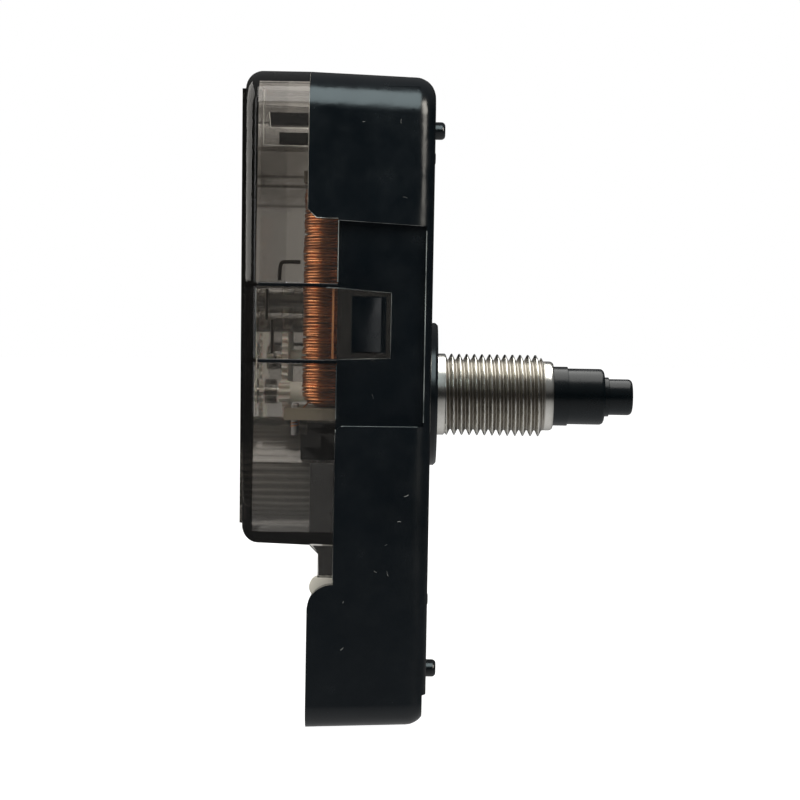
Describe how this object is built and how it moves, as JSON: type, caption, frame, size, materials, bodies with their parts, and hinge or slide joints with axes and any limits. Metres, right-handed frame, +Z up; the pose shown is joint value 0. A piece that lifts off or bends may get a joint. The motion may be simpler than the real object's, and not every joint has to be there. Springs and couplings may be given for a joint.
{
  "type": "quartz clock movement",
  "caption": "Battery clock movement with black case, smoky clear back cover, coil, gear train, setting knob and a threaded bush with hour and minute tubes.",
  "frame": {"origin": "where the axis of the hand shaft meets the front face that rests against the dial", "axes": "+Z up as the movement hangs, -Y along the hand shaft away from the case, +X to the right seen from the front"},
  "size_m": [0.056, 0.0371, 0.0573],
  "materials": {
    "case_black": "satin black",
    "cover_smoke": "smoky clear",
    "nickel": "plated brass",
    "tube_black": "satin",
    "copper_wire": "enamelled copper",
    "bobbin_plastic": "matte",
    "steel": "bright",
    "soft_iron": "dull nickel",
    "plate_plastic": "matte",
    "gear_white": "natural",
    "magnet": "sintered",
    "board": "lacquered",
    "chip_black": "cast resin",
    "contact_metal": "plated",
    "solder_tin": "tinned"
  },
  "bodies": {
    "case": {"front_case": "case_black", "back_cover": "cover_smoke", "threaded_bush": "nickel", "middle_plate": "plate_plastic", "coil_core": "soft_iron", "coil_bobbin": "bobbin_plastic", "coil_terminals": "solder_tin", "coil_winding_core": "copper_wire", "coil_winding": "copper_wire", "stator_upper": "soft_iron", "stator_lower": "soft_iron", "circuit_board": "board", "chip_cap": "chip_black", "crystal_can": "steel", "crystal_leads": "solder_tin", "battery_contact_left": "contact_metal", "battery_contact_right": "contact_metal"},
    "rotor": {"rotor_magnet": "magnet", "rotor_pinion": "gear_white"},
    "fifth": {"fifth_wheel": "gear_white"},
    "second": {"second_wheel": "gear_white", "second_arbor": "steel"},
    "third": {"third_wheel": "gear_white"},
    "centre": {"centre_wheel": "gear_white"},
    "minute": {"minute_tube": "tube_black", "clutch_spring": "steel"},
    "idler": {"minute_wheel": "gear_white"},
    "hour": {"hour_wheel": "tube_black"},
    "knob": {"setting_knob": "gear_white"}
  },
  "joints": [
    {"name": "rotor_spin", "type": "hinge", "parent": "case", "child": "rotor", "pos_m": [-0.00653, 0.0087, 0.0095], "axis": [0, 1, 0], "continuous": true},
    {"name": "fifth_spin", "type": "hinge", "parent": "case", "child": "fifth", "pos_m": [-0.0015, 0.0089, 0.00704], "axis": [0, 1, 0], "continuous": true},
    {"name": "second_spin", "type": "hinge", "parent": "case", "child": "second", "pos_m": [0, 0.0085, 0], "axis": [0, 1, 0], "continuous": true},
    {"name": "third_spin", "type": "hinge", "parent": "case", "child": "third", "pos_m": [0.00681, 0.0096, 0.0031], "axis": [0, 1, 0], "continuous": true},
    {"name": "centre_spin", "type": "hinge", "parent": "case", "child": "centre", "pos_m": [0, 0.0046, 0], "axis": [0, 1, 0], "continuous": true},
    {"name": "minute_spin", "type": "hinge", "parent": "case", "child": "minute", "pos_m": [0, -0.0077, 0], "axis": [0, 1, 0], "continuous": true},
    {"name": "idler_spin", "type": "hinge", "parent": "case", "child": "idler", "pos_m": [-0.00939, 0.0034, -0.002], "axis": [0, 1, 0], "continuous": true},
    {"name": "hour_spin", "type": "hinge", "parent": "case", "child": "hour", "pos_m": [0, -0.0076, 0], "axis": [0, 1, 0], "continuous": true},
    {"name": "knob_spin", "type": "hinge", "parent": "case", "child": "knob", "pos_m": [-0.01926, 0.009, -0.00639], "axis": [0, 1, 0], "continuous": true}
  ],
  "couplings": [
    {"joint": "fifth_spin", "follows": "rotor_spin", "ratio": -0.16667},
    {"joint": "second_spin", "follows": "rotor_spin", "ratio": 0.033333},
    {"joint": "third_spin", "follows": "rotor_spin", "ratio": -0.0044444},
    {"joint": "centre_spin", "follows": "rotor_spin", "ratio": 0.00055556},
    {"joint": "idler_spin", "follows": "minute_spin", "ratio": -0.33333},
    {"joint": "hour_spin", "follows": "minute_spin", "ratio": 0.083333},
    {"joint": "knob_spin", "follows": "minute_spin", "ratio": 0.66667}
  ]
}
